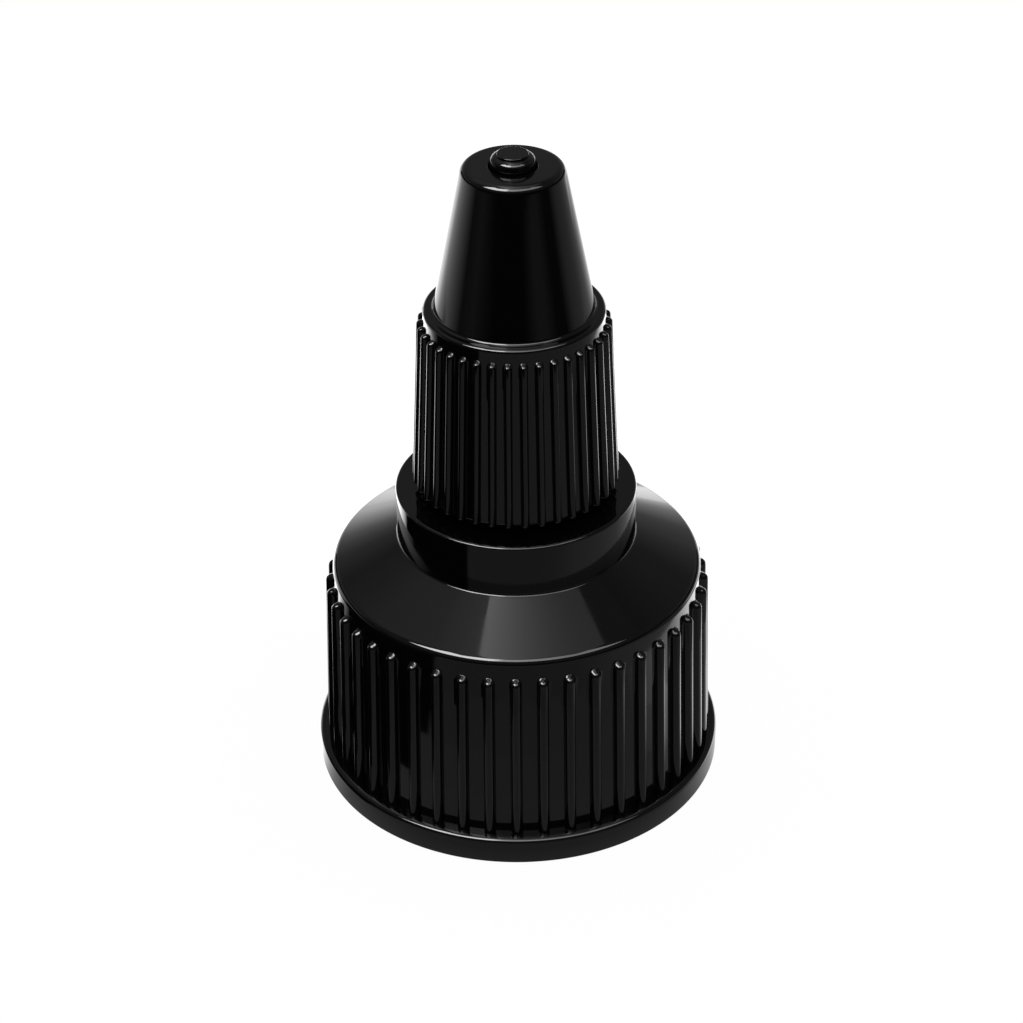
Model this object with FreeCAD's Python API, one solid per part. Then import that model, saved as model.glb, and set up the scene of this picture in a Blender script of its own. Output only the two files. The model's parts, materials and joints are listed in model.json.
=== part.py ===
import FreeCAD, Part
import math
import os

# Twist-open dispensing closure for a 24-410 bottle neck, in millimetres.
# The frame stands on the skirt's rim: origin in the middle of the rim, +Z up along the axis.
# Two mouldings make it: the base, with its skirt, shoulder, collar, chimney and centre post,
# and the spout that turns on the chimney and lets the orifice off the post's plug.

# Skirt, outside
bead_radius = 14.5
bead_height = 1.95
skirt_foot_radius = 13.40
skirt_top_radius = 12.96
skirt_height = 16.0
skirt_rib_count = 45
skirt_rib_radius = 0.40
skirt_rib_sink = 0.12
skirt_rib_headroom = 1.34
skirt_rib_phase = -0.78

# Shoulder and collar, outside
shoulder_rise = 2.25
collar_radius = 8.35
collar_height = 3.80

# Neck recess, inside the skirt
neck_bore_radius = 12.1
mouth_chamfer = 0.45
roof_wall = 1.28
collar_wall = 1.20
deck_wall = 1.30
seal_ring_radius = 9.6
seal_ring_width = 0.9
seal_ring_lift = 0.15

# Spout, outside
spout_foot_gap = 0.75
barrel_height = 13.08
barrel_foot_radius = 6.74
barrel_top_radius = 6.10
barrel_rib_count = 38
barrel_rib_radius = 0.28
barrel_rib_sink = 0.11
barrel_rib_headroom = 0.95
barrel_rib_phase = 5.06
cone_foot_radius = 5.42
cone_top_radius = 3.38
cone_height = 10.27

# Spout, inside
thread_bore_radius = 5.50
thread_bore_depth = 8.20
seal_bore_radius = 4.20
seal_bore_length = 5.10
cone_wall = 1.10
orifice_radius = 1.55
orifice_land = 1.10
orifice_funnel = 1.00
mouth_flare = 0.10
flare_depth = 0.20

# Chimney, post and the fits between the two mouldings
running_clearance = 0.05
thread_room = 0.65
chimney_wall = 1.20
nose_wall = 0.85
nose_entry = 0.60
nose_lead = 0.20
plug_clearance = 0.06
plug_stand = 0.85
plug_chamfer = 0.27
plug_taper = 1.95
post_foot_radius = 1.95
post_foot_drop = 0.80
spoke_count = 3
spoke_width = 1.10
spoke_height = 2.80

# Bevels on edges, the facets and head of a rib, and the size of the blocks that cut ribs off
bead_edge = 0.22
shoulder_edge = 0.20
collar_edge = 0.16
collar_fillet = 0.30
barrel_edge = 0.16
cone_fillet = 0.35
tip_edge = 0.36
foot_chamfer = 0.25
rib_facets = 5
rib_head_slant = 45
cut_room = 3.2


# Heights that follow from the sizes above
shoulder_slope = shoulder_rise / (skirt_top_radius - collar_radius)
shoulder_angle = math.atan(shoulder_slope)
collar_foot_z = skirt_height + shoulder_rise
ledge_z = collar_foot_z + collar_height
deck_z = ledge_z - deck_wall
roof_drop = roof_wall / math.cos(shoulder_angle)
spout_foot_z = ledge_z + spout_foot_gap
barrel_top_z = spout_foot_z + barrel_height
tip_z = barrel_top_z + cone_height
plug_top_z = tip_z + plug_stand

# Radii that follow from a fit
chimney_radius = thread_bore_radius - thread_room
nose_radius = seal_bore_radius - running_clearance
plug_radius = orifice_radius - plug_clearance

# Levels inside the spout, and those of the chimney that answer them
thread_bore_top_z = spout_foot_z + thread_bore_depth
seal_bore_foot_z = thread_bore_top_z + (thread_bore_radius - seal_bore_radius) / 2
seal_bore_top_z = seal_bore_foot_z + seal_bore_length
land_top_z = tip_z - flare_depth
land_foot_z = land_top_z - orifice_land
funnel_foot_z = land_foot_z - orifice_funnel
chimney_step_z = thread_bore_top_z - running_clearance
nose_foot_z = chimney_step_z + (chimney_radius - nose_radius)
nose_top_z = seal_bore_top_z - nose_entry
nose_inner_radius = nose_radius - nose_wall
chimney_inner_radius = chimney_radius - chimney_wall


def shoulder_z(radius):
    """Height of the shoulder's outer cone at a radius."""
    return skirt_height + (skirt_top_radius - radius) * shoulder_slope


def roof_z(radius):
    """Height of the roof inside the base, parallel to the shoulder."""
    return shoulder_z(radius) - roof_drop


def cone_radius(height):
    """Outer radius of the spout's cone at a height."""
    share = (height - barrel_top_z) / cone_height
    return cone_foot_radius + (cone_top_radius - cone_foot_radius) * share


def outline_wire(points):
    """Closed wire in the XZ plane through (radius, height, bevel) points."""
    count = len(points)
    corners = [FreeCAD.Vector(radius, 0, height) for radius, height, bevel in points]
    ends = []
    for index in range(count):
        corner = corners[index]
        bevel = points[index][2]
        if bevel <= 0:
            ends.append(corner)
            continue
        back = (corners[index - 1] - corner).normalize()
        ahead = (corners[(index + 1) % count] - corner).normalize()
        ends.append(corner + back * bevel)
        ends.append(corner + ahead * bevel)
    return Part.makePolygon(ends + ends[:1])


def turned(points):
    """Solid turned about the axis from a closed outline."""
    face = Part.Face(outline_wire(points))
    return face.revolve(FreeCAD.Vector(0, 0, 0), FreeCAD.Vector(0, 0, 1), 360)


def half_round(foot, run, across, outward):
    """Bar of half-round outline along a run, with a straight skirt that sinks into the wall."""
    outline = [foot - across - outward, foot + across - outward]
    for step in range(rib_facets + 1):
        angle = math.pi * step / rib_facets
        outline.append(foot + across * math.cos(angle) + outward * math.sin(angle))
    return Part.Face(Part.makePolygon(outline + outline[:1])).extrude(run)


def round_rib(foot_radius, foot_z, head_radius, head_z, rib_radius):
    """One rib up a tapered wall on the +X side, its head cut off at a slant."""
    foot = FreeCAD.Vector(foot_radius, 0, foot_z)
    head = FreeCAD.Vector(head_radius, 0, head_z)
    run = head - foot
    across = FreeCAD.Vector(0, rib_radius, 0)
    outward = across.cross(run).normalize() * rib_radius
    wedge = Part.makeBox(cut_room, cut_room, cut_room, FreeCAD.Vector(0, -cut_room / 2, 0))
    wedge.rotate(FreeCAD.Vector(0, 0, 0), FreeCAD.Vector(0, 1, 0), -rib_head_slant)
    wedge.translate(head + outward - run * (rib_radius / run.Length))
    return half_round(foot, run, across, outward).cut(wedge)


def ribbed(body, rib, count, phase):
    """Fuse one rib to the body again and again round the axis."""
    ribs = []
    for index in range(count):
        copy = rib.copy()
        turn = phase + index * 360.0 / count - 90
        copy.rotate(FreeCAD.Vector(0, 0, 0), FreeCAD.Vector(0, 0, 1), turn)
        ribs.append(copy)
    return body.fuse(ribs).removeSplitter()


def skirt_wall_radius(height):
    """Smooth wall between the skirt's ribs."""
    share = (height - bead_height) / (skirt_height - bead_height)
    return skirt_foot_radius + (skirt_top_radius - skirt_foot_radius) * share


def barrel_wall_radius(height):
    """Smooth wall between the barrel's ribs."""
    share = (height - spout_foot_z) / barrel_height
    return barrel_foot_radius + (barrel_top_radius - barrel_foot_radius) * share


def base_shell():
    """Skirt, shoulder, collar, deck and chimney as one turned moulding."""
    ring_inner = seal_ring_radius - seal_ring_width / 2
    ring_outer = seal_ring_radius + seal_ring_width / 2
    ring_z = roof_z(neck_bore_radius) + seal_ring_lift
    collar_inner = collar_radius - collar_wall
    return turned([
        (neck_bore_radius + mouth_chamfer, 0, 0),
        (bead_radius, 0, 0),
        (bead_radius, bead_height, bead_edge),
        (skirt_foot_radius, bead_height, 0),
        (skirt_top_radius, skirt_height, shoulder_edge),
        (collar_radius, collar_foot_z, collar_fillet),
        (collar_radius, ledge_z, collar_edge),
        (chimney_radius, ledge_z, 0),
        (chimney_radius, chimney_step_z, 0),
        (nose_radius, nose_foot_z, 0),
        (nose_radius, nose_top_z - nose_lead, 0),
        (nose_radius - nose_lead, nose_top_z, 0),
        (nose_inner_radius, nose_top_z, 0),
        (nose_inner_radius, nose_foot_z, 0),
        (chimney_inner_radius, chimney_step_z, 0),
        (chimney_inner_radius, deck_z, 0),
        (collar_inner, deck_z, 0),
        (collar_inner, roof_z(collar_inner), 0),
        (ring_inner, roof_z(ring_inner), 0),
        (ring_inner, ring_z, 0),
        (ring_outer, ring_z, 0),
        (ring_outer, roof_z(ring_outer), 0),
        (neck_bore_radius, roof_z(neck_bore_radius), 0),
        (neck_bore_radius, mouth_chamfer, 0),
    ])


def centre_post():
    """Tapered post on the axis, from below the deck to the plug's top."""
    post_foot_z = deck_z - post_foot_drop
    return turned([
        (0, post_foot_z, 0),
        (post_foot_radius - plug_chamfer, post_foot_z, 0),
        (post_foot_radius, post_foot_z + plug_chamfer, 0),
        (post_foot_radius, nose_top_z, 0),
        (plug_radius, nose_top_z + plug_taper, 0),
        (plug_radius, plug_top_z - plug_chamfer, 0),
        (plug_radius - plug_chamfer, plug_top_z, 0),
        (0, plug_top_z, 0),
    ])


def spoke(index):
    """Radial web that carries the post from the chimney's wall."""
    reach = chimney_inner_radius + chimney_wall / 2
    corner = FreeCAD.Vector(0, -spoke_width / 2, deck_z)
    web = Part.makeBox(reach, spoke_width, spoke_height, corner)
    web.rotate(FreeCAD.Vector(0, 0, 0), FreeCAD.Vector(0, 0, 1), index * 360.0 / spoke_count + 90)
    return web


def closure_base():
    """Lower moulding: it screws on the bottle and carries the plug."""
    shell = base_shell()
    spokes = [spoke(index) for index in range(spoke_count)]
    body = shell.fuse([centre_post()] + spokes)
    rib_head_z = skirt_height - skirt_rib_headroom - skirt_rib_radius
    rib_foot_z = bead_height / 2
    rib = round_rib(
        skirt_wall_radius(rib_foot_z) + skirt_rib_sink,
        rib_foot_z,
        skirt_wall_radius(rib_head_z) + skirt_rib_sink,
        rib_head_z,
        skirt_rib_radius,
    )
    return ribbed(body, rib, skirt_rib_count, skirt_rib_phase)


def spout_shell():
    """Barrel and cone of the spout, with their stepped bore and the orifice."""
    return turned([
        (thread_bore_radius + foot_chamfer, spout_foot_z, 0),
        (barrel_foot_radius, spout_foot_z, 0),
        (barrel_top_radius, barrel_top_z, barrel_edge),
        (cone_foot_radius, barrel_top_z, cone_fillet),
        (cone_top_radius, tip_z, tip_edge),
        (orifice_radius + mouth_flare, tip_z, 0),
        (orifice_radius, land_top_z, 0),
        (orifice_radius, land_foot_z, 0),
        (cone_radius(funnel_foot_z) - cone_wall, funnel_foot_z, 0),
        (cone_radius(seal_bore_top_z) - cone_wall, seal_bore_top_z, 0),
        (seal_bore_radius, seal_bore_top_z - running_clearance, 0),
        (seal_bore_radius, seal_bore_foot_z, 0),
        (thread_bore_radius, thread_bore_top_z, 0),
        (thread_bore_radius, spout_foot_z + foot_chamfer, 0),
    ])


def twist_spout():
    """Upper moulding: the ribbed grip and nozzle that turns to open."""
    rib_head_z = barrel_top_z - barrel_rib_headroom - barrel_rib_radius
    start_z = spout_foot_z - barrel_rib_radius
    rib = round_rib(
        barrel_wall_radius(start_z) + barrel_rib_sink,
        start_z,
        barrel_wall_radius(rib_head_z) + barrel_rib_sink,
        rib_head_z,
        barrel_rib_radius,
    )
    body = ribbed(spout_shell(), rib, barrel_rib_count, barrel_rib_phase)
    reach = barrel_foot_radius + cut_room
    below = Part.makeCylinder(reach, cut_room, FreeCAD.Vector(0, 0, spout_foot_z - cut_room))
    return body.cut(below)


def save(shape, name):
    """Write one node, and say what it measures."""
    os.makedirs("parts", exist_ok=True)
    shape.exportStep("parts/" + name + ".step")
    box = shape.BoundBox
    print(name, len(shape.Solids), "solid, volume", round(shape.Volume, 2), "mm3, valid", shape.isValid(),
          "height", round(box.ZMin, 3), "to", round(box.ZMax, 3))


save(closure_base(), "closure_base")
save(twist_spout(), "twist_spout")
print("neck bore wall from", mouth_chamfer, "to", round(roof_z(neck_bore_radius), 4))
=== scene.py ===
"""Twist-open dispensing cap in black gloss plastic: rounded mouldings, ribs, threads and a small studio."""
import json
import math

import bmesh
import bpy
from bpy.props import FloatProperty, FloatVectorProperty, IntProperty, PointerProperty
from mathutils import Matrix, Vector


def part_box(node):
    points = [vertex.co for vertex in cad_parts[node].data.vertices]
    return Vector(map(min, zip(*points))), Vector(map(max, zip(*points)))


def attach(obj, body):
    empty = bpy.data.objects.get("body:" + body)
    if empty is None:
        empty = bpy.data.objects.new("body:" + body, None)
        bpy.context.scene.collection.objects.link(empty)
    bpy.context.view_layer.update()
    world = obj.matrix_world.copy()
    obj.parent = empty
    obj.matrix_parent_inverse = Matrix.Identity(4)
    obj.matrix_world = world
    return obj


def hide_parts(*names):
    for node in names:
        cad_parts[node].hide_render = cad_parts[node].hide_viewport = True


bl_info = {
    "name": "Twist-open cap",
    "version": (1, 0, 0),
    "blender": (4, 5, 0),
    "location": "View3D > Sidebar > Cap",
    "description": "Builds a ribbed closure with a twisting spout, and the studio that it stands in",
    "category": "Add Mesh",
}

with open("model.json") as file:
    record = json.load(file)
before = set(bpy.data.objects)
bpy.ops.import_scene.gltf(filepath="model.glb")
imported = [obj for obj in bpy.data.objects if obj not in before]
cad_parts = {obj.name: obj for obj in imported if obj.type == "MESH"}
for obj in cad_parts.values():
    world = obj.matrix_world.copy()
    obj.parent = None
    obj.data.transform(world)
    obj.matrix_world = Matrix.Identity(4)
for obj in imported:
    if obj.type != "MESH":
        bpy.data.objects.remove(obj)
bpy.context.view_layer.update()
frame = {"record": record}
MM = 0.001

# Sizes that the frame gives
base_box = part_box("closure_base")
spout_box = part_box("twist_spout")
neck_mount = frame["record"]["mounts"][0]
bead_radius = base_box[1].x
plug_top = base_box[1].z
spout_foot = spout_box[0].z
tip_top = spout_box[1].z
neck_bore_radius = neck_mount["dims"]["r_mm"] * MM
neck_bore_top = neck_mount["pos_m"][2] + neck_mount["dims"]["length_mm"] * MM / 2

# How finely round forms are cut
ROUND_STEPS = 6
HIDDEN_STEPS = 2
RIB_STEPS = 6
VALLEY_STEPS = 4
RIB_COLUMNS = 2 * RIB_STEPS + VALLEY_STEPS
SHAFT_ROWS = 4
POST_STEPS = 96
SPOKE_EDGE_STEPS = 3
THREAD_STEPS = 72
ROUND_PROFILE = 0.5

# Rows that keep flat faces flat: their place in roundings, and the room that they need
HOLD = 1.3
HOLD_ROOM = 1.1

# Shares of a rib's radius: where its round ends, and where the straight foot below it ends
RIB_ROOT = 0.9
RIB_FOOT = 1.06

# Thread ridges: shares of the height that root and ends lie in the wall, and run-outs to a turn
ROOT_SINK = 0.15
END_SINK = 0.1
RUNOUTS = 9

SMOOTH_ANGLE = math.radians(70)
MERGE_DISTANCE = 1e-7
CLIP_START = 10 * MM

# Sheets that the gloss mirrors: degrees of a step, height of the rings of painted table light and shade just
# under the floor, and round the cap
SHEET_STEP = 2
PAINTED_TABLE_HEIGHT = -0.5 * MM
BACKDROP_RADIUS = 600 * MM
BACKDROP_ROWS = 90

# Panels that hang above the cap
PANEL_BACK = 30 * MM
PANEL_HEIGHT = 500 * MM
PANEL_DEPTH = 360 * MM


def length(name, description, millimetres):
    """A size that a user may change, given in millimetres."""
    default = millimetres * MM
    return FloatProperty(name=name, description=description, default=default, unit="LENGTH", precision=5)


def turn(name, description, degrees):
    """An angle that a user may change, given in degrees."""
    default = math.radians(degrees)
    return FloatProperty(name=name, description=description, default=default, unit="ROTATION")


def number(name, description, default, highest=1000.0):
    """A plain number that a user may change, from nothing up."""
    return FloatProperty(name=name, description=description, default=default, min=0, max=highest)


def count(name, description, default):
    """How many of something there are."""
    return IntProperty(name=name, description=description, default=default, min=1)


class CapBaseSizes(bpy.types.PropertyGroup):
    """Sizes of the lower moulding."""

    bead_height: length("Bead height", "Height of the smooth bead round the rim", 1.95)
    skirt_foot_radius: length("Skirt foot radius", "Wall between the ribs, at the bead", 13.40)
    skirt_top_radius: length("Skirt top radius", "Wall between the ribs, at the shoulder", 12.96)
    skirt_height: length("Skirt height", "Height of the shoulder's edge", 16.0)
    shoulder_rise: length("Shoulder rise", "Height from the shoulder's edge to the collar's foot", 2.25)
    collar_radius: length("Collar radius", "Plain collar below the spout", 8.35)
    collar_height: length("Collar height", "Height of the collar's wall", 3.80)
    roof_wall: length("Roof wall", "Plastic below the shoulder", 1.28)
    collar_wall: length("Collar wall", "Plastic inside the collar", 1.20)
    deck_wall: length("Deck wall", "Plastic across the collar's top", 1.30)
    mouth_chamfer: length("Mouth chamfer", "Lead-in at the skirt's mouth", 0.45)
    ring_radius: length("Seal ring radius", "Middle of the ring that the neck's lip seats on", 9.6)
    ring_width: length("Seal ring width", "Width of the seal ring", 0.9)
    ring_lift: length("Seal ring lift", "Ring's foot above the top of the neck's bore", 0.15)
    chimney_radius: length("Chimney radius", "Tube that the spout turns on", 4.85)
    chimney_wall: length("Chimney wall", "Wall of that tube", 1.20)
    nose_radius: length("Nose radius", "Slim top of the chimney, inside the spout's seal bore", 4.15)
    nose_wall: length("Nose wall", "Wall of the nose", 0.85)
    nose_foot: length("Nose foot", "Height where the chimney narrows to the nose", 30.95)
    nose_top: length("Nose top", "Height of the nose's end", 36.15)
    post_radius: length("Post radius", "Centre post below its plug", 1.95)
    post_drop: length("Post drop", "How far the post reaches below the deck", 0.80)
    plug_taper: length("Plug taper", "Height over which the post narrows to its plug", 1.95)
    plug_radius: length("Plug radius", "Round plug that shuts the orifice", 1.49)
    plug_crown: length("Plug crown", "Rounding of the plug's shoulder", 0.43)
    disc_radius: length("Disc radius", "Raised disc on the plug", 1.04)
    disc_height: length("Disc height", "How far that disc stands up", 0.15)
    disc_edge: length("Disc edge", "Rounding of that disc", 0.05)
    post_edge: length("Post edge", "Rounding of the post below its plug", 0.30)
    spoke_width: length("Spoke width", "Web from the chimney to the post", 1.10)
    spoke_height: length("Spoke height", "Height of each web", 2.80)
    rib_radius: length("Rib radius", "Half the width of a skirt rib", 0.40)
    rib_height: length("Rib height", "How far a skirt rib stands out", 0.52)
    rib_headroom: length("Rib headroom", "Plain band between a rib's head and the shoulder", 1.34)
    rib_phase: turn("Rib phase", "Turn of the first rib from the front", -0.78)
    rim_edge: length("Rim edge", "Rounding of the bead's lower edge", 0.06)
    bead_edge: length("Bead edge", "Rounding of the bead's upper edge", 0.34)
    shoulder_edge: length("Shoulder edge", "Rounding at the shoulder", 0.34)
    collar_edge: length("Collar edge", "Rounding at the collar's top", 0.18)
    collar_fillet: length("Collar fillet", "Hollow at the collar's foot", 0.12)
    rib_count: count("Skirt ribs", "Ribs round the skirt", 45)
    spoke_count: count("Spokes", "Webs that carry the post", 3)


class CapSpoutSizes(bpy.types.PropertyGroup):
    """Sizes of the upper moulding."""

    barrel_foot_radius: length("Barrel foot radius", "Wall between the ribs, at the foot", 6.74)
    barrel_top_radius: length("Barrel top radius", "Wall at the ledge", 6.10)
    barrel_height: length("Barrel height", "Height of the ribbed barrel", 13.08)
    cone_foot_radius: length("Cone foot radius", "Nozzle at the ledge", 5.42)
    cone_top_radius: length("Cone top radius", "Nozzle at its tip", 3.38)
    thread_bore_radius: length("Thread bore radius", "Smooth wall between the lift thread's ridges", 5.50)
    thread_bore_depth: length("Thread bore depth", "Height of that bore", 8.20)
    seal_bore_radius: length("Seal bore radius", "Bore that turns on the nose", 4.20)
    seal_bore_length: length("Seal bore length", "Height of that bore", 5.10)
    cone_wall: length("Cone wall", "Plastic of the nozzle", 1.10)
    orifice_radius: length("Orifice radius", "Hole round the plug", 1.55)
    orifice_land: length("Orifice land", "Straight part of the hole", 1.10)
    orifice_funnel: length("Orifice funnel", "Cone below the straight part", 1.00)
    mouth_flare: length("Mouth flare", "Lead at the hole's rim", 0.10)
    flare_depth: length("Flare depth", "Height of that lead", 0.20)
    foot_chamfer: length("Foot chamfer", "Lead-in at the barrel's foot", 0.25)
    rib_radius: length("Rib radius", "Half the width of a barrel rib", 0.28)
    rib_height: length("Rib height", "How far a barrel rib stands out", 0.39)
    rib_headroom: length("Rib headroom", "Plain band between a rib's head and the ledge", 0.95)
    rib_phase: turn("Rib phase", "Turn of the first rib from the front", 5.06)
    foot_edge: length("Foot edge", "Rounding at the barrel's foot", 0.12)
    ledge_edge: length("Ledge edge", "Rounding at the barrel's top", 0.22)
    cone_fillet: length("Cone fillet", "Hollow at the nozzle's foot", 0.20)
    tip_edge: length("Tip edge", "Rounding of the tip", 0.40)
    rib_count: count("Barrel ribs", "Ribs round the barrel", 38)


class CapThreadSizes(bpy.types.PropertyGroup):
    """Sizes of the threads, which are right-handed."""

    neck_pitch: length("Neck pitch", "Rise of the neck thread in one turn", 3.175)
    neck_height: length("Neck ridge height", "How far the neck thread stands in from the wall", 0.95)
    neck_root: length("Neck ridge root", "Width of the ridge at the wall", 1.60)
    neck_crest: length("Neck ridge crest", "Width of the ridge at its top", 0.60)
    neck_start: length("Neck thread start", "Height of the first turn's start", 2.60)
    lift_pitch: length("Lift pitch", "Distance from one ridge to the next", 1.20)
    lift_height: length("Lift ridge height", "How far a lift ridge stands out", 0.50)
    lift_root: length("Lift ridge root", "Width of a lift ridge at the wall", 0.55)
    lift_crest: length("Lift ridge crest", "Width of a lift ridge at its top", 0.22)
    lift_start: length("Lift thread start", "Height of the lift thread's lowest ridge", 23.90)
    neck_turns: number("Neck turns", "Turns of the neck thread", 1.5)
    lift_turns: number("Lift turns", "Turn of each lift ridge", 0.8)
    lift_starts: count("Lift starts", "Ridges that start side by side", 4)


class CapPlasticFinish(bpy.types.PropertyGroup):
    """Finish of the black plastic."""

    colour: FloatVectorProperty(
        name="Colour", description="Colour of the plastic", subtype="COLOR", size=3,
        default=(0.0010, 0.0010, 0.0011), min=0, max=1,
    )
    gloss: number("Gloss", "Roughness of the polished faces", 0.05, 1)
    haze: number("Haze", "Roughness added in dull patches", 0.04, 1)
    ripple: length("Ripple", "Height of the flow marks left by moulding", 0.004)
    refraction: number("Refraction", "Index of refraction", 1.49)
    patch_scale: number("Patch scale", "Dull patches to a metre", 420)
    flow_scale: number("Flow scale", "Flow marks to a metre", 150)


class CapStudio(bpy.types.PropertyGroup):
    """Camera, floor and lights."""

    camera_distance: length("Camera distance", "From the camera to the point that it looks at", 181.4)
    camera_height: length("Aim height", "Height of the point that the camera looks at", 19.58)
    camera_side: length("Aim side", "How far that point lies to the right of the axis", -0.33)
    camera_elevation: turn("Elevation", "Angle of the camera above the horizon", 33.08)
    camera_roll: turn("Roll", "Tilt of the camera", -0.64)
    lens: number("Lens", "Focal length in millimetres", 91.43)
    floor_size: length("Floor size", "Width of the floor", 2400)
    floor_colour: FloatVectorProperty(
        name="Floor colour", description="Colour of the floor", subtype="COLOR", size=3,
        default=(0.86, 0.86, 0.86), min=0, max=1,
    )
    floor_white: number("Floor white", "White that the camera sees in place of the floor", 1.01)
    floor_share: number("Floor share", "How much of that white replaces the floor", 0.95, 1)
    fill: number("Fill", "Light from all round", 1.0)
    ceiling: number("Ceiling", "Brightness straight above, in reflections", 0.12)
    ceiling_rise: number("Ceiling rise", "Sine of the angle above the horizon at which it is full", 0.35, 1)


def seen(radius, height, edge=0.0):
    """Corner of an outline that the eye can reach: its rounding is fine, with a holding row on each side."""
    return radius, height, edge, ROUND_STEPS


def hidden(radius, height, edge=0.0):
    """Corner deep inside a moulding, with a coarse rounding."""
    return radius, height, edge, HIDDEN_STEPS


def holding_point(corner, neighbour):
    """Point beside a rounded corner on the way to its neighbour, or nothing where there is no room."""
    radius, height, edge, steps = corner
    run = Vector((neighbour[0] - radius, neighbour[1] - height))
    if edge == 0 or steps < ROUND_STEPS or run.length < HOLD * (edge + neighbour[2]) * HOLD_ROOM:
        return []
    place = Vector((radius, height)) + run.normalized() * edge * HOLD
    return [(place.x, place.y, 0.0, 0)]


def rounded_wire(corners, closed=True):
    """Wire in the XZ plane through the corners; edge is the length that a rounding takes from each side."""
    rows = []
    for index, corner in enumerate(corners):
        if index > 0 or closed:
            rows += holding_point(corner, corners[index - 1])
        rows.append(corner)
        if index < len(corners) - 1 or closed:
            rows += holding_point(corner, corners[(index + 1) % len(corners)])
    wire = bmesh.new()
    verts = [wire.verts.new((row[0], 0, row[1])) for row in rows]
    ends = verts[1:] + verts[:1] if closed else verts[1:]
    for start, end in zip(verts, ends):
        wire.edges.new((start, end))
    for vert, (radius, height, edge, steps) in zip(verts, rows):
        if edge > 0:
            bmesh.ops.bevel(
                wire, geom=[vert], offset=edge, offset_type="OFFSET", affect="VERTICES",
                segments=steps, profile=ROUND_PROFILE, material=-1,
            )
    return wire


def sew(mesh):
    """Join the corners that meet, and turn every face outwards."""
    bmesh.ops.remove_doubles(mesh, verts=mesh.verts, dist=MERGE_DISTANCE)
    bmesh.ops.recalc_face_normals(mesh, faces=mesh.faces)


def spin_full(wire, steps):
    """Turn a wire all the way round the axis."""
    bmesh.ops.spin(
        wire, geom=wire.verts[:] + wire.edges[:], cent=(0, 0, 0), axis=(0, 0, 1),
        angle=math.tau, steps=steps, use_merge=True, use_duplicate=False,
    )
    sew(wire)


def object_of(mesh, name, material):
    """Object of a mesh that is done, in the scene and with its material."""
    data = bpy.data.meshes.new(name)
    mesh.to_mesh(data)
    mesh.free()
    data.materials.append(material)
    piece = bpy.data.objects.new(name, data)
    bpy.context.scene.collection.objects.link(piece)
    return piece


def finish_piece(mesh, name, body, slot):
    """Make an object of the mesh, smooth it, and hang it on its body."""
    piece = object_of(mesh, name, black_plastic(slot))
    piece.data.shade_smooth()
    piece.data.set_sharp_from_angle(angle=SMOOTH_ANGLE)
    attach(piece, body)
    return piece


# Ribs

def rib_swell(across, beyond, radius, height):
    """How far a rib stands out, across from its middle and beyond the centre of its ball head."""
    reach = math.hypot(across, max(beyond, 0)) / radius
    if reach < RIB_ROOT:
        return height * math.sqrt(1 - reach * reach)
    return height * math.sqrt(1 - RIB_ROOT * RIB_ROOT) * max(0, RIB_FOOT - reach) / (RIB_FOOT - RIB_ROOT)


def rib_stretch(step):
    """Share of a rib's radius at which a step across it lies."""
    return RIB_FOOT * math.sin(math.pi / 2 * step / RIB_STEPS)


def rib_head(sizes, top):
    """Height of the centre of the ribs' ball heads, below the top of their wall."""
    return top - sizes.rib_headroom - sizes.rib_radius


def rib_rows(sizes, foot, head, first):
    """Heights of the rows that shape a rib from a first step up its shaft, and of one just above it."""
    shaft = [foot + (head - foot) * step / SHAFT_ROWS for step in range(first, SHAFT_ROWS)]
    ball = [head + sizes.rib_radius * rib_stretch(step) for step in range(RIB_STEPS + 1)]
    return shaft + ball + [ball[-1] + sizes.rib_radius / 4]


def tapered_wall(foot, tall, foot_radius, top_radius):
    """Function that gives the radius of a tapered wall at a height."""
    def radius(height):
        return foot_radius + (top_radius - foot_radius) * ((height - foot) / tall)
    return radius


def spin_ribbed(wire, sizes, wall, foot, head, sink):
    """Turn an outline through one rib and its valley, shape the rib, and repeat it all the way round."""
    pitch = math.tau / sizes.rib_count
    start = Matrix.Rotation(sizes.rib_phase - (math.pi + pitch) / 2, 3, "Z")
    bmesh.ops.rotate(wire, verts=wire.verts, cent=(0, 0, 0), matrix=start)
    bmesh.ops.spin(
        wire, geom=wire.verts[:] + wire.edges[:], cent=(0, 0, 0), axis=(0, 0, 1),
        angle=pitch, steps=RIB_COLUMNS, use_merge=False, use_duplicate=False,
    )
    raise_rib(wire, sizes, wall, foot, head, sink)
    bmesh.ops.spin(
        wire, geom=wire.verts[:] + wire.edges[:] + wire.faces[:], cent=(0, 0, 0), axis=(0, 0, 1),
        angle=math.tau - pitch, steps=sizes.rib_count - 1, use_merge=False, use_duplicate=True,
    )
    sew(wire)
    return wire


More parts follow.
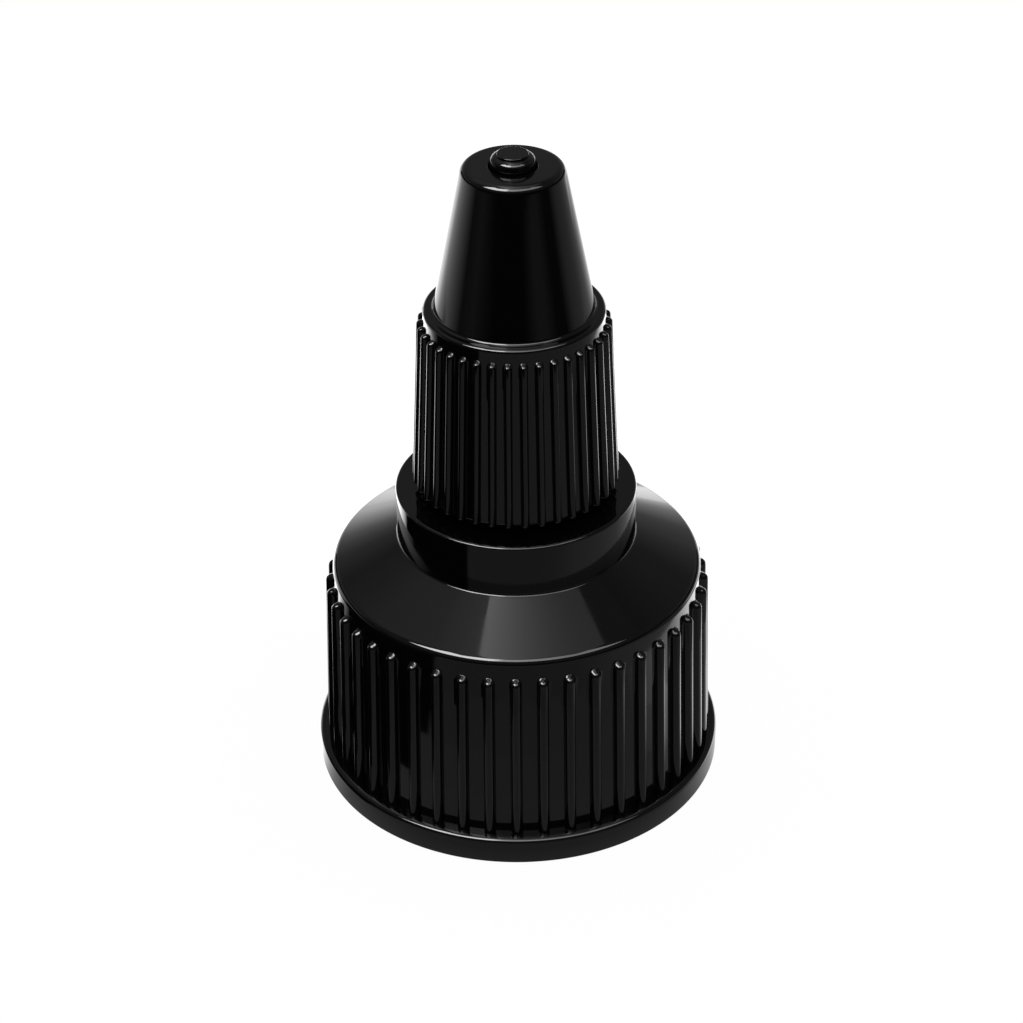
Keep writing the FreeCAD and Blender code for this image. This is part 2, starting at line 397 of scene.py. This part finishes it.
def raise_rib(mesh, sizes, wall, foot, head, sink):
    """Gather the columns of a turned wall at its rib, and push them out."""
    pitch = math.tau / sizes.rib_count
    first = sizes.rib_phase - math.pi / 2
    half = RIB_COLUMNS / 2
    margin = sizes.rib_radius / 100
    for vert in mesh.verts:
        radius = math.hypot(vert.co.x, vert.co.y)
        wall_radius = wall(vert.co.z)
        step = (math.atan2(vert.co.y, vert.co.x) - first) / pitch * RIB_COLUMNS
        side = math.copysign(1, step)
        step = abs(step)
        valley = pitch * wall_radius / 2 - sizes.rib_radius * rib_stretch(RIB_STEPS)
        across = sizes.rib_radius * rib_stretch(min(step, RIB_STEPS))
        across += valley * max(0, step - RIB_STEPS) / (half - RIB_STEPS)
        angle = first + side * across / wall_radius
        on_wall = wall_radius - sink < radius < wall_radius + margin
        if on_wall and vert.co.z > foot - margin:
            radius += rib_swell(across, vert.co.z - head, sizes.rib_radius, sizes.rib_height)
        vert.co.x = radius * math.cos(angle)
        vert.co.y = radius * math.sin(angle)


# Lower moulding

def skirt_wall(sizes):
    """Radius of the wall between the skirt's ribs, by height."""
    tall = sizes.skirt_height - sizes.bead_height
    return tapered_wall(sizes.bead_height, tall, sizes.skirt_foot_radius, sizes.skirt_top_radius)


def base_corners(sizes):
    """Outline of the lower moulding, from the mouth of the skirt outwards and up."""
    slope = sizes.shoulder_rise / (sizes.skirt_top_radius - sizes.collar_radius)
    roof_drop = sizes.roof_wall * math.hypot(1, slope)
    collar_foot = sizes.skirt_height + sizes.shoulder_rise
    ledge = collar_foot + sizes.collar_height
    deck = ledge - sizes.deck_wall
    collar_inner = sizes.collar_radius - sizes.collar_wall
    ring_inner = sizes.ring_radius - sizes.ring_width / 2
    ring_outer = sizes.ring_radius + sizes.ring_width / 2
    ring_foot = neck_bore_top + sizes.ring_lift
    chimney_inner = sizes.chimney_radius - sizes.chimney_wall
    nose_inner = sizes.nose_radius - sizes.nose_wall
    nose_start = sizes.nose_foot + sizes.chimney_radius - sizes.nose_radius
    soft = sizes.nose_wall / 4
    wall = skirt_wall(sizes)
    rows = rib_rows(sizes, sizes.bead_height, rib_head(sizes, sizes.skirt_height), 0)

    def roof(radius):
        return sizes.skirt_height + (sizes.skirt_top_radius - radius) * slope - roof_drop

    return [
        hidden(neck_bore_radius + sizes.mouth_chamfer, 0, soft / 2),
        seen(bead_radius, 0, sizes.rim_edge),
        seen(bead_radius, sizes.bead_height, sizes.bead_edge),
    ] + [seen(wall(height), height) for height in rows] + [
        seen(sizes.skirt_top_radius, sizes.skirt_height, sizes.shoulder_edge),
        seen(sizes.collar_radius, collar_foot, sizes.collar_fillet),
        seen(sizes.collar_radius, ledge, sizes.collar_edge),
        hidden(sizes.chimney_radius, ledge, soft),
        hidden(sizes.chimney_radius, sizes.nose_foot, soft),
        hidden(sizes.nose_radius, nose_start, soft),
        hidden(sizes.nose_radius, sizes.nose_top, soft),
        hidden(nose_inner, sizes.nose_top, soft),
        hidden(nose_inner, nose_start, soft),
        hidden(chimney_inner, sizes.nose_foot, soft),
        hidden(chimney_inner, deck, soft),
        hidden(collar_inner, deck, soft),
        hidden(collar_inner, roof(collar_inner), soft),
        hidden(ring_inner, roof(ring_inner), soft),
        hidden(ring_inner, ring_foot, soft),
        hidden(ring_outer, ring_foot, soft),
        hidden(ring_outer, roof(ring_outer), soft),
        hidden(neck_bore_radius, roof(neck_bore_radius), soft),
        hidden(neck_bore_radius, sizes.mouth_chamfer, soft / 2),
    ]


def base_moulding(sizes):
    """Skirt, shoulder, collar, deck and chimney as one closed mesh."""
    head = rib_head(sizes, sizes.skirt_height)
    outline = rounded_wire(base_corners(sizes))
    return spin_ribbed(outline, sizes, skirt_wall(sizes), sizes.bead_height, head, sizes.rib_radius / 4)


def plug_post(sizes):
    """Centre post with its plug, and the spokes that carry it."""
    deck = sizes.skirt_height + sizes.shoulder_rise + sizes.collar_height - sizes.deck_wall
    foot = deck - sizes.post_drop
    post = rounded_wire([
        hidden(0, foot),
        hidden(sizes.post_radius, foot, sizes.post_edge),
        hidden(sizes.post_radius, sizes.nose_top, sizes.post_edge),
        hidden(sizes.plug_radius, sizes.nose_top + sizes.plug_taper, sizes.post_edge),
        seen(sizes.plug_radius, plug_top - sizes.disc_height, sizes.plug_crown),
        seen(sizes.disc_radius, plug_top - sizes.disc_height),
        seen(sizes.disc_radius, plug_top, sizes.disc_edge),
        hidden(0, plug_top),
    ], closed=False)
    spin_full(post, POST_STEPS)
    reach = sizes.chimney_radius - sizes.chimney_wall / 2
    for index in range(sizes.spoke_count):
        web = bmesh.ops.create_cube(post, size=1)["verts"]
        bmesh.ops.scale(post, verts=web, vec=(reach, sizes.spoke_width, sizes.spoke_height))
        middle = (reach / 2, 0, deck + sizes.spoke_height / 2)
        bmesh.ops.translate(post, verts=web, vec=middle)
        rails = [edge for edge in post.edges if edge.verts[0] in web and edge.verts[1] in web
                 and edge.verts[0].co.x != edge.verts[1].co.x]
        rounded = bmesh.ops.bevel(
            post, geom=rails, offset=sizes.spoke_width / 6, affect="EDGES",
            segments=SPOKE_EDGE_STEPS, profile=ROUND_PROFILE, material=-1,
        )
        verts = list({vert for face in rounded["faces"] for vert in face.verts})
        spin = Matrix.Rotation(math.pi / 2 + index * math.tau / sizes.spoke_count, 3, "Z")
        bmesh.ops.rotate(post, verts=verts, cent=(0, 0, 0), matrix=spin)
    return post


# Upper moulding

def barrel_wall(sizes):
    """Radius of the wall between the barrel's ribs, by height."""
    return tapered_wall(spout_foot, sizes.barrel_height, sizes.barrel_foot_radius, sizes.barrel_top_radius)


def spout_corners(sizes):
    """Outline of the spout, from its mouth outwards, up and back down the bore."""
    barrel_top = spout_foot + sizes.barrel_height
    bore_top = spout_foot + sizes.thread_bore_depth
    seal_foot = bore_top + (sizes.thread_bore_radius - sizes.seal_bore_radius) / 2
    seal_top = seal_foot + sizes.seal_bore_length
    land_top = tip_top - sizes.flare_depth
    land_foot = land_top - sizes.orifice_land
    funnel_foot = land_foot - sizes.orifice_funnel
    soft = sizes.foot_edge
    wall = barrel_wall(sizes)
    cone = tapered_wall(barrel_top, tip_top - barrel_top, sizes.cone_foot_radius, sizes.cone_top_radius)
    rows = rib_rows(sizes, spout_foot, rib_head(sizes, barrel_top), 1)
    return [
        hidden(sizes.thread_bore_radius + sizes.foot_chamfer, spout_foot),
        seen(sizes.barrel_foot_radius, spout_foot, sizes.foot_edge),
    ] + [seen(wall(height), height) for height in rows] + [
        seen(sizes.barrel_top_radius, barrel_top, sizes.ledge_edge),
        seen(sizes.cone_foot_radius, barrel_top, sizes.cone_fillet),
        seen(sizes.cone_top_radius, tip_top, sizes.tip_edge),
        seen(sizes.orifice_radius + sizes.mouth_flare, tip_top, sizes.mouth_flare / 2),
        hidden(sizes.orifice_radius, land_top),
        hidden(sizes.orifice_radius, land_foot, soft),
        hidden(cone(funnel_foot) - sizes.cone_wall, funnel_foot, soft),
        hidden(cone(seal_top) - sizes.cone_wall, seal_top),
        hidden(sizes.seal_bore_radius, seal_top - soft / 2),
        hidden(sizes.seal_bore_radius, seal_foot, soft),
        hidden(sizes.thread_bore_radius, bore_top, soft),
        hidden(sizes.thread_bore_radius, spout_foot + sizes.foot_chamfer),
    ]


def spout_moulding(sizes):
    """Ribbed barrel and nozzle with the stepped bore, as one closed mesh."""
    head = rib_head(sizes, spout_foot + sizes.barrel_height)
    outline = rounded_wire(spout_corners(sizes))
    return spin_ribbed(outline, sizes, barrel_wall(sizes), spout_foot, head, sizes.foot_edge * 1.5)


# Threads

def thread_ridge(mesh, wall, crest, root_width, crest_width, start, lead, turns, first):
    """One ridge wound up the inside or outside of a wall, running out to nothing at its ends."""
    sunk = wall - (crest - wall) * ROOT_SINK
    section = [
        mesh.verts.new((sunk, 0, start - root_width / 2)),
        mesh.verts.new((crest, 0, start - crest_width / 2)),
        mesh.verts.new((crest, 0, start + crest_width / 2)),
        mesh.verts.new((sunk, 0, start + root_width / 2)),
    ]
    face = mesh.faces.new(section)
    steps = round(turns * THREAD_STEPS)
    before = set(mesh.verts) - set(section)
    bmesh.ops.spin(
        mesh, geom=[face] + section + list(face.edges), cent=(0, 0, 0), axis=(0, 0, 1),
        dvec=(0, 0, lead * turns / steps), angle=turns * math.tau, steps=steps,
        use_merge=False, use_duplicate=False,
    )
    verts = [vert for vert in mesh.verts if vert not in before]
    runout = lead / RUNOUTS
    for vert in verts:
        climb = min(vert.co.z - start, start + lead * turns - vert.co.z)
        radius = math.hypot(vert.co.x, vert.co.y)
        if abs(radius - crest) < abs(crest - wall) / 2:
            share = min(1, max(0, climb / runout))
            stand = share * (2 - share) - END_SINK * (1 - share)
            target = wall + (crest - wall) * stand
            vert.co.x *= target / radius
            vert.co.y *= target / radius
    bmesh.ops.rotate(mesh, verts=verts, cent=(0, 0, 0), matrix=Matrix.Rotation(first, 3, "Z"))


def neck_thread(threads):
    """Thread inside the skirt for the bottle's neck."""
    mesh = bmesh.new()
    thread_ridge(
        mesh, neck_bore_radius, neck_bore_radius - threads.neck_height, threads.neck_root, threads.neck_crest,
        threads.neck_start, threads.neck_pitch, threads.neck_turns, 0,
    )
    bmesh.ops.recalc_face_normals(mesh, faces=mesh.faces)
    return mesh


def lift_thread(threads, wall, crest, lift):
    """Ridges that start side by side and carry the spout up as it turns."""
    mesh = bmesh.new()
    lead = threads.lift_pitch * threads.lift_starts
    for index in range(threads.lift_starts):
        thread_ridge(
            mesh, wall, crest, threads.lift_root, threads.lift_crest, threads.lift_start + lift,
            lead, threads.lift_turns, index * math.tau / threads.lift_starts,
        )
    bmesh.ops.recalc_face_normals(mesh, faces=mesh.faces)
    return mesh


# Finish

def moulding_marks():
    """Node group: dull patches and slow flow marks of an injection moulding."""
    name = "moulding_marks"
    if name in bpy.data.node_groups:
        return bpy.data.node_groups[name]
    group = bpy.data.node_groups.new(name, "ShaderNodeTree")
    group.interface.new_socket("Vector", in_out="INPUT", socket_type="NodeSocketVector")
    group.interface.new_socket("Patch scale", in_out="INPUT", socket_type="NodeSocketFloat")
    group.interface.new_socket("Flow scale", in_out="INPUT", socket_type="NodeSocketFloat")
    group.interface.new_socket("Patches", in_out="OUTPUT", socket_type="NodeSocketFloat")
    group.interface.new_socket("Flow", in_out="OUTPUT", socket_type="NodeSocketFloat")
    nodes = group.nodes
    links = group.links
    entry = nodes.new("NodeGroupInput")
    leave = nodes.new("NodeGroupOutput")
    patches = nodes.new("ShaderNodeTexNoise")
    patches.inputs["Detail"].default_value = 5
    patches.inputs["Roughness"].default_value = 0.6
    flow = nodes.new("ShaderNodeTexNoise")
    flow.inputs["Detail"].default_value = 1
    stretch = nodes.new("ShaderNodeVectorMath")
    stretch.operation = "MULTIPLY"
    stretch.inputs[1].default_value = (1, 1, 0.35)
    spread = nodes.new("ShaderNodeMapRange")
    spread.inputs["From Min"].default_value = 0.35
    spread.inputs["From Max"].default_value = 0.7
    links.new(entry.outputs["Vector"], patches.inputs["Vector"])
    links.new(entry.outputs["Patch scale"], patches.inputs["Scale"])
    links.new(entry.outputs["Vector"], stretch.inputs[0])
    links.new(stretch.outputs["Vector"], flow.inputs["Vector"])
    links.new(entry.outputs["Flow scale"], flow.inputs["Scale"])
    links.new(patches.outputs["Fac"], spread.inputs["Value"])
    links.new(spread.outputs["Result"], leave.inputs["Patches"])
    links.new(flow.outputs["Fac"], leave.inputs["Flow"])
    return group


def black_plastic(slot):
    """Gloss black moulded plastic, with faint dull patches and flow marks."""
    name = slot + "_gloss"
    if name in bpy.data.materials:
        return bpy.data.materials[name]
    finish = bpy.context.scene.cap_finish
    material = bpy.data.materials.new(name)
    material.use_nodes = True
    nodes = material.node_tree.nodes
    links = material.node_tree.links
    shader = nodes["Principled BSDF"]
    shader.inputs["Base Color"].default_value = (*finish.colour, 1)
    shader.inputs["IOR"].default_value = finish.refraction
    place = nodes.new("ShaderNodeTexCoord")
    marks = nodes.new("ShaderNodeGroup")
    marks.node_tree = moulding_marks()
    marks.inputs["Patch scale"].default_value = finish.patch_scale
    marks.inputs["Flow scale"].default_value = finish.flow_scale
    rough = nodes.new("ShaderNodeMath")
    rough.operation = "MULTIPLY_ADD"
    rough.inputs[1].default_value = finish.haze
    rough.inputs[2].default_value = finish.gloss
    bump = nodes.new("ShaderNodeBump")
    bump.inputs["Strength"].default_value = 1.0
    bump.inputs["Distance"].default_value = finish.ripple
    links.new(place.outputs["Object"], marks.inputs["Vector"])
    links.new(marks.outputs["Patches"], rough.inputs[0])
    links.new(rough.outputs["Value"], shader.inputs["Roughness"])
    links.new(marks.outputs["Flow"], bump.inputs["Height"])
    links.new(bump.outputs["Normal"], shader.inputs["Normal"])
    return material


# Studio

def only_in_reflections(piece):
    """Let only the gloss of the plastic see a panel or sheet."""
    piece.visible_camera = False
    piece.visible_diffuse = False
    piece.visible_transmission = False
    piece.visible_volume_scatter = False
    piece.visible_shadow = False


def bare_material(name):
    """Material with nothing but its output, with its nodes, its links and that output."""
    material = bpy.data.materials.new(name)
    material.use_nodes = True
    nodes = material.node_tree.nodes
    nodes.clear()
    return material, nodes, material.node_tree.links, nodes.new("ShaderNodeOutputMaterial")


def fading_glow(name, width, start, end, curve):
    """Glow that goes from start to end across the width of a panel, evenly where the curve is 1."""
    material, nodes, links, out = bare_material(name)
    light = nodes.new("ShaderNodeEmission")
    place = nodes.new("ShaderNodeTexCoord")
    split = nodes.new("ShaderNodeSeparateXYZ")
    reach = nodes.new("ShaderNodeMapRange")
    reach.inputs["From Min"].default_value = -width / 2
    reach.inputs["From Max"].default_value = width / 2
    bend = nodes.new("ShaderNodeMath")
    bend.operation = "POWER"
    bend.inputs[1].default_value = curve
    level = nodes.new("ShaderNodeMapRange")
    level.inputs["To Min"].default_value = start
    level.inputs["To Max"].default_value = end
    links.new(place.outputs["Object"], split.inputs["Vector"])
    links.new(split.outputs["X"], reach.inputs["Value"])
    links.new(reach.outputs["Result"], bend.inputs[0])
    links.new(bend.outputs["Value"], level.inputs["Value"])
    links.new(level.outputs["Result"], light.inputs["Strength"])
    links.new(light.outputs["Emission"], out.inputs["Surface"])
    return material


def glow_of_lamps_and_painted_table():
    """Material whose glow each corner of a curved sheet carries: lamp light on the key, windows and
    backdrops, painted light and shade on the table rings.
    """
    name = "lamps_and_painted_table_glow"
    if name in bpy.data.materials:
        return bpy.data.materials[name]
    material, nodes, links, out = bare_material(name)
    light = nodes.new("ShaderNodeEmission")
    shine = nodes.new("ShaderNodeAttribute")
    shine.attribute_name = "shine"
    links.new(shine.outputs["Fac"], light.inputs["Strength"])
    links.new(light.outputs["Emission"], out.inputs["Surface"])
    return material


def panel_above(name, side, width, start, end, curve=1.0):
    """Flat panel that hangs above the cap, some way to its side, and looks down."""
    mesh = bmesh.new()
    bmesh.ops.create_grid(mesh, x_segments=1, y_segments=1, size=0.5)
    bmesh.ops.scale(mesh, verts=mesh.verts, vec=(width, PANEL_DEPTH, 1))
    panel = object_of(mesh, name, fading_glow(name, width, start, end, curve))
    down = Vector((0, 0, -1)).to_track_quat("Z", "Y").to_matrix().to_4x4()
    panel.matrix_world = Matrix.Translation((side, PANEL_BACK, PANEL_HEIGHT)) @ down
    only_in_reflections(panel)


def bearing(place):
    """Angle of a point from the front, positive to the right, in degrees."""
    return math.degrees(math.atan2(place.x, -place.y))


def rise(place):
    """Angle of a point above the table, in degrees."""
    return math.degrees(math.atan2(place.z, math.hypot(place.x, place.y)))


def shine_at(stops, angle):
    """Glow at an angle, on straight lines from stop to stop."""
    for (start, low), (end, high) in zip(stops, stops[1:]):
        if angle <= end:
            return low + (high - low) * max(0, angle - start) / (end - start)
    return stops[-1][1]


def curved_sheet(name, edge, rows, first, last, reading, stops):
    """Sheet spun round the cap from an edge in front of it; a reading of each point picks its glow."""
    mesh = bmesh.new()
    ends = [mesh.verts.new((0, -radius, height)) for radius, height in edge]
    line = mesh.edges.new(ends)
    if rows > 1:
        bmesh.ops.subdivide_edges(mesh, edges=[line], cuts=rows - 1)
    start = Matrix.Rotation(math.radians(first), 3, "Z")
    bmesh.ops.rotate(mesh, verts=mesh.verts, cent=(0, 0, 0), matrix=start)
    bmesh.ops.spin(
        mesh, geom=mesh.verts[:] + mesh.edges[:], cent=(0, 0, 0), axis=(0, 0, 1),
        angle=math.radians(last - first), steps=round((last - first) / SHEET_STEP),
        use_merge=False, use_duplicate=False,
    )
    shine = mesh.verts.layers.float.new("shine")
    for vert in mesh.verts:
        vert[shine] = shine_at(stops, reading(vert.co))
    only_in_reflections(object_of(mesh, name, glow_of_lamps_and_painted_table()))


def painted_table_ring(name, near, far, stops):
    """Glowing ring on the table that paints its light, and the cap's shadow on it, as the gloss mirrors them;
    each stop is an angle from the front and a glow.
    """
    edge = [(near * MM, PAINTED_TABLE_HEIGHT), (far * MM, PAINTED_TABLE_HEIGHT)]
    curved_sheet(name, edge, 1, -180, 180, bearing, stops)


def backdrop(name, first, last, stops):
    """Upright sheet behind the cap; each stop is an angle above the table and a glow."""
    angles = (stops[0][0], stops[-1][0])
    edge = [(BACKDROP_RADIUS, BACKDROP_RADIUS * math.tan(math.radians(angle))) for angle in angles]
    curved_sheet(name, edge, BACKDROP_ROWS, first, last, rise, stops)


def pale_floor(studio):
    """Pale floor that the camera sees as white, with a trace of the cap's shadow."""
    mesh = bmesh.new()
    bmesh.ops.create_grid(mesh, x_segments=1, y_segments=1, size=studio.floor_size / 2)
    material, nodes, links, out = bare_material("pale_floor")
    floor = object_of(mesh, "floor", material)
    paint = nodes.new("ShaderNodeBsdfDiffuse")
    paint.inputs["Color"].default_value = (*studio.floor_colour, 1)
    white = nodes.new("ShaderNodeEmission")
    white.inputs["Strength"].default_value = studio.floor_white
    rays = nodes.new("ShaderNodeLightPath")
    share = nodes.new("ShaderNodeMath")
    share.operation = "MULTIPLY"
    share.inputs[1].default_value = studio.floor_share
    mix = nodes.new("ShaderNodeMixShader")
    links.new(rays.outputs["Is Camera Ray"], share.inputs[0])
    links.new(share.outputs["Value"], mix.inputs["Fac"])
    links.new(paint.outputs["BSDF"], mix.inputs[1])
    links.new(white.outputs["Emission"], mix.inputs[2])
    links.new(mix.outputs["Shader"], out.inputs["Surface"])
    # In reflections the rings of painted table light and shade stand in for this floor.
    floor.visible_glossy = False


def studio_world(studio):
    """White behind the cap for the camera, soft fill for the rest, and a dim ceiling in reflections."""
    world = bpy.data.worlds.new("studio")
    bpy.context.scene.world = world
    world.use_nodes = True
    nodes = world.node_tree.nodes
    links = world.node_tree.links
    background = nodes["Background"]
    background.inputs["Color"].default_value = (1, 1, 1, 1)
    rays = nodes.new("ShaderNodeLightPath")
    place = nodes.new("ShaderNodeTexCoord")
    split = nodes.new("ShaderNodeSeparateXYZ")
    ceiling = nodes.new("ShaderNodeMapRange")
    ceiling.inputs["From Max"].default_value = studio.ceiling_rise
    ceiling.inputs["To Max"].default_value = studio.ceiling
    gloss = nodes.new("ShaderNodeMix")
    gloss.inputs[2].default_value = studio.fill
    shown = nodes.new("ShaderNodeMix")
    shown.inputs[3].default_value = 1.0
    links.new(place.outputs["Generated"], split.inputs["Vector"])
    links.new(split.outputs["Z"], ceiling.inputs["Value"])
    links.new(rays.outputs["Is Glossy Ray"], gloss.inputs[0])
    links.new(ceiling.outputs["Result"], gloss.inputs[3])
    links.new(rays.outputs["Is Camera Ray"], shown.inputs[0])
    links.new(gloss.outputs[0], shown.inputs[2])
    links.new(shown.outputs[0], background.inputs["Strength"])


def studio_sheets():
    """What the gloss of the cap mirrors: glowing rings with painted light and shade of the table, sheets
    behind it and panels above.
    """
    # Painted light and shade of the table: bright behind the cap, dim in front where the cap's shadow lies,
    # and nothing at the left front.
    painted_table_ring("painted_table_light_by_bead", 0, 16.3, [
        (-180, 1.3), (-86, 1.4), (-79, 0.9), (-73, 0.5), (-62, 0.27), (-50, 0.24), (50, 0.24), (58, 0.3),
        (66, 0.45), (74, 0.6), (180, 1.3),
    ])
    painted_table_ring("painted_table_light_by_skirt", 16.3, 20.5, [
        (-180, 1.6), (-116, 1.6), (-102, 0.3), (-98, 0), (-56, 0), (-54, 0.23), (60, 0.23), (70, 0.4),
        (78, 1.2), (86, 2.6), (180, 1.6),
    ])
    painted_table_ring("painted_table_light_below_ribs", 20.5, 26, [
        (-180, 1.6), (-120, 1.6), (-108, 0.2), (-102, 0), (-48, 0), (-46, 0.22), (56, 0.22), (68, 0.4),
        (78, 1.0), (90, 2.6), (180, 1.6),
    ])
    painted_table_ring("painted_table_light_below_band", 26, 33, [
        (-180, 2.5), (-140, 4.0), (-122, 2.6), (-114, 0.6), (-106, 0), (-44, 0), (-42, 0.19), (56, 0.22),
        (66, 0.5), (80, 0.8), (90, 1.2), (107, 2.2), (120, 2.6), (180, 2.5),
    ])
    painted_table_ring("painted_table_light_below_collar", 33, 45, [
        (-180, 2.6), (-150, 3.4), (-132, 3.0), (-122, 1.3), (-118, 0), (-44, 0), (-42, 0.17), (30, 0.18),
        (50, 0.25), (100, 0.27), (118, 0.4), (140, 0.9), (148, 2.4), (180, 2.6),
    ])
    painted_table_ring("painted_table_light_below_barrel", 45, 75, [
        (-180, 1.2), (-166, 2.0), (-150, 5.0), (-134, 4.0), (-118, 1.5), (-108, 0), (-44, 0), (-42, 0.2),
        (70, 0.22), (80, 0.05), (100, 0.05), (108, 1.5), (130, 3.0), (150, 5.0), (166, 2.0), (180, 1.2),
    ])
    painted_table_ring("painted_table_light_below_cone", 75, 130, [
        (-180, 1.3), (-160, 1.9), (-142, 2.0), (-130, 1.15), (-118, 0.7), (-106, 0), (-44, 0), (-42, 0.2),
        (86, 0.22), (130, 0.38), (154, 0.9), (180, 1.3),
    ])
    painted_table_ring("painted_table_light_far", 130, 600, [
        (-180, 3.0), (-160, 2.0), (-142, 2.0), (-130, 1.15), (-100, 0.5), (-80, 0.05), (-60, 0.1), (-30, 0),
        (14, 0), (32, 0.11), (44, 0.11), (60, 0.015), (74, 0.015), (90, 0.22), (110, 0.25), (130, 0.38),
        (154, 2.4), (180, 3.0),
    ])
    backdrop("window_left", 180, 214, [(-6, 1.9), (2, 1.9), (7, 1.2), (12, 0.55), (16, 0.35)])
    backdrop("window_right", 146, 180, [(-6, 4.0), (-2, 2.4), (3, 0.8), (10, 0.32), (16, 0.26)])
    backdrop("backdrop_left", 180, 260, [(16, 0.35), (20, 0.22), (30, 0.13), (40, 0.2), (50, 0.3), (70, 0.4)])
    backdrop("backdrop_right", 100, 180, [(16, 0.28), (20, 0.22), (30, 0.13), (40, 0.14), (56, 0.1)])
    panel_above("overhead_left", -139 * MM, 102 * MM, 0.62, 0.42)
    panel_above("overhead", 58 * MM, 290 * MM, 0.52, 2.5, 2.2)
    curved_sheet("key", [(0.46, 0.43), (0.22, 0.55)], 1, -76, 76, bearing, [
        (-76, 16), (-18, 16), (-12, 6), (40, 3.5), (76, 3.5),
    ])


class CAP_OT_base(bpy.types.Operator):
    """Build the lower moulding with its ribs, chimney and post"""

    bl_idname = "cap.base"
    bl_label = "Closure base"

    def execute(self, context):
        sizes = context.scene.cap_base
        shell = finish_piece(base_moulding(sizes), "base_shell", "base", "base_plastic")
        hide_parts("closure_base")
        finish_piece(plug_post(sizes), "plug_post", "base", "base_plastic")
        return {"FINISHED"}


class CAP_OT_spout(bpy.types.Operator):
    """Build the spout that turns on the base"""

    bl_idname = "cap.spout"
    bl_label = "Twist spout"

    def execute(self, context):
        sizes = context.scene.cap_spout
        shell = finish_piece(spout_moulding(sizes), "spout_shell", "spout", "spout_plastic")
        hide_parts("twist_spout")
        return {"FINISHED"}


class CAP_OT_threads(bpy.types.Operator):
    """Build the neck thread and both halves of the lift thread"""

    bl_idname = "cap.threads"
    bl_label = "Threads"

    def execute(self, context):
        scene = context.scene
        threads = scene.cap_threads
        finish_piece(neck_thread(threads), "neck_thread", "base", "base_plastic")
        chimney = scene.cap_base.chimney_radius
        outside = lift_thread(threads, chimney, chimney + threads.lift_height, 0)
        finish_piece(outside, "chimney_thread", "base", "base_plastic")
        bore = scene.cap_spout.thread_bore_radius
        inside = lift_thread(threads, bore, bore - threads.lift_height, threads.lift_pitch / 2)
        finish_piece(inside, "spout_thread", "spout", "spout_plastic")
        return {"FINISHED"}


class CAP_OT_studio(bpy.types.Operator):
    """Set the camera, floor, world and what the gloss mirrors"""

    bl_idname = "cap.studio"
    bl_label = "Studio"

    def execute(self, context):
        studio = context.scene.cap_studio
        pale_floor(studio)
        studio_world(studio)
        studio_sheets()
        camera = bpy.data.objects.new("camera", bpy.data.cameras.new("camera"))
        context.scene.collection.objects.link(camera)
        camera.data.lens = studio.lens
        camera.data.clip_start = CLIP_START
        aim = Vector((studio.camera_side, 0, studio.camera_height))
        back = Vector((0, -math.cos(studio.camera_elevation), math.sin(studio.camera_elevation)))
        tilt = Matrix.Rotation(math.pi / 2 - studio.camera_elevation, 4, "X")
        roll = Matrix.Rotation(studio.camera_roll, 4, "Z")
        camera.matrix_world = Matrix.Translation(aim + back * studio.camera_distance) @ tilt @ roll
        context.scene.camera = camera
        context.scene.view_settings.view_transform = "Standard"
        return {"FINISHED"}


class CAP_PT_panel(bpy.types.Panel):
    """Sidebar panel with a button for each piece"""

    bl_idname = "CAP_PT_panel"
    bl_label = "Twist-open cap"
    bl_space_type = "VIEW_3D"
    bl_region_type = "UI"
    bl_category = "Cap"

    def draw(self, context):
        for operator in OPERATORS:
            self.layout.operator(operator.bl_idname)


PROPERTY_GROUPS = {
    "cap_base": CapBaseSizes,
    "cap_spout": CapSpoutSizes,
    "cap_threads": CapThreadSizes,
    "cap_finish": CapPlasticFinish,
    "cap_studio": CapStudio,
}
OPERATORS = (CAP_OT_base, CAP_OT_spout, CAP_OT_threads, CAP_OT_studio)


def register():
    """Register the classes and hang the settings on the scene."""
    for name, group in PROPERTY_GROUPS.items():
        bpy.utils.register_class(group)
        setattr(bpy.types.Scene, name, PointerProperty(type=group))
    for operator in OPERATORS:
        bpy.utils.register_class(operator)
    bpy.utils.register_class(CAP_PT_panel)


def unregister():
    """Take everything out again."""
    bpy.utils.unregister_class(CAP_PT_panel)
    for operator in reversed(OPERATORS):
        bpy.utils.unregister_class(operator)
    for name, group in PROPERTY_GROUPS.items():
        delattr(bpy.types.Scene, name)
        bpy.utils.unregister_class(group)


def main():
    register()
    bpy.ops.cap.base()
    bpy.ops.cap.spout()
    bpy.ops.cap.threads()
    bpy.ops.cap.studio()


if __name__ == "__main__":
    main()
